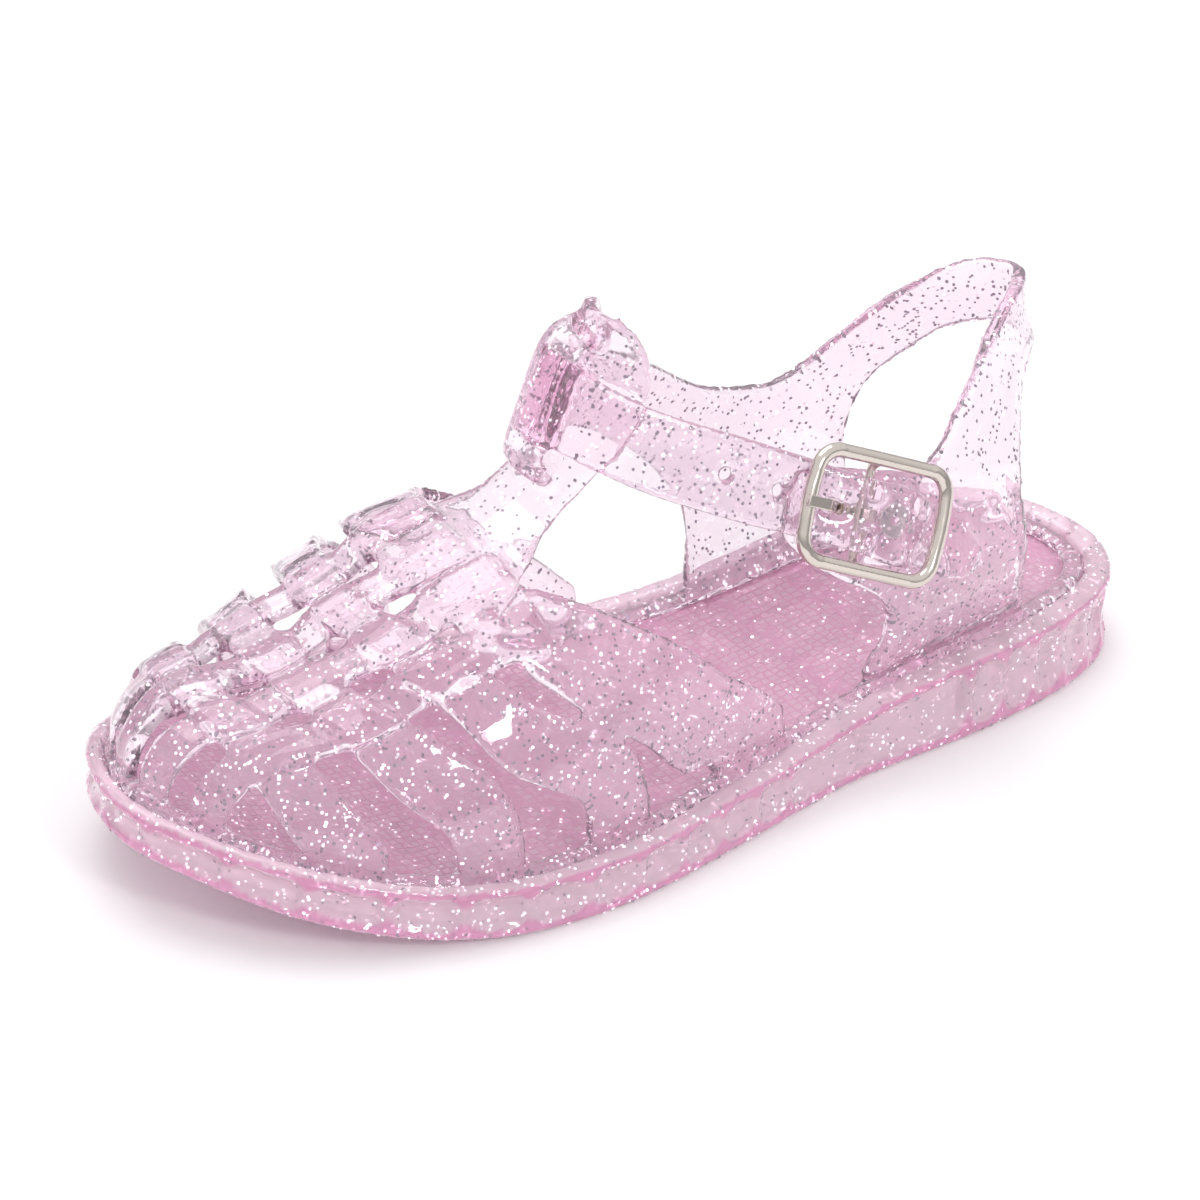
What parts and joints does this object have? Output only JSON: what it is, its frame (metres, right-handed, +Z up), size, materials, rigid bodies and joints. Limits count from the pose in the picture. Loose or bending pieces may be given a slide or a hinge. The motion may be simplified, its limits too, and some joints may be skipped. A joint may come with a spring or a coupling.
{
  "type": "jelly sandal",
  "caption": "Child's moulded jelly sandal for the left foot: woven open toe bands, tongue with keeper, buckled ankle strap and a ribbed sole.",
  "frame": {"origin": "on the floor, under the middle of the sole's length and width", "axes": "+X along the sole from heel to toe, +Y to the outer side of the left foot, +Z up"},
  "size_m": [0.165, 0.0704, 0.0717],
  "materials": {
    "sole_jelly": "clear pink jelly with round glitter, glossy",
    "upper_jelly": "clear pink jelly with round glitter, glossy",
    "buckle_metal": "pale nickel plate, polished",
    "rivet_metal": "pale nickel plate, polished"
  },
  "bodies": {
    "root": {"sole": "sole_jelly", "upper": "upper_jelly", "buckle_frame": "buckle_metal", "buckle_prong": "buckle_metal", "buckle_rivet": "rivet_metal"}
  },
  "joints": []
}
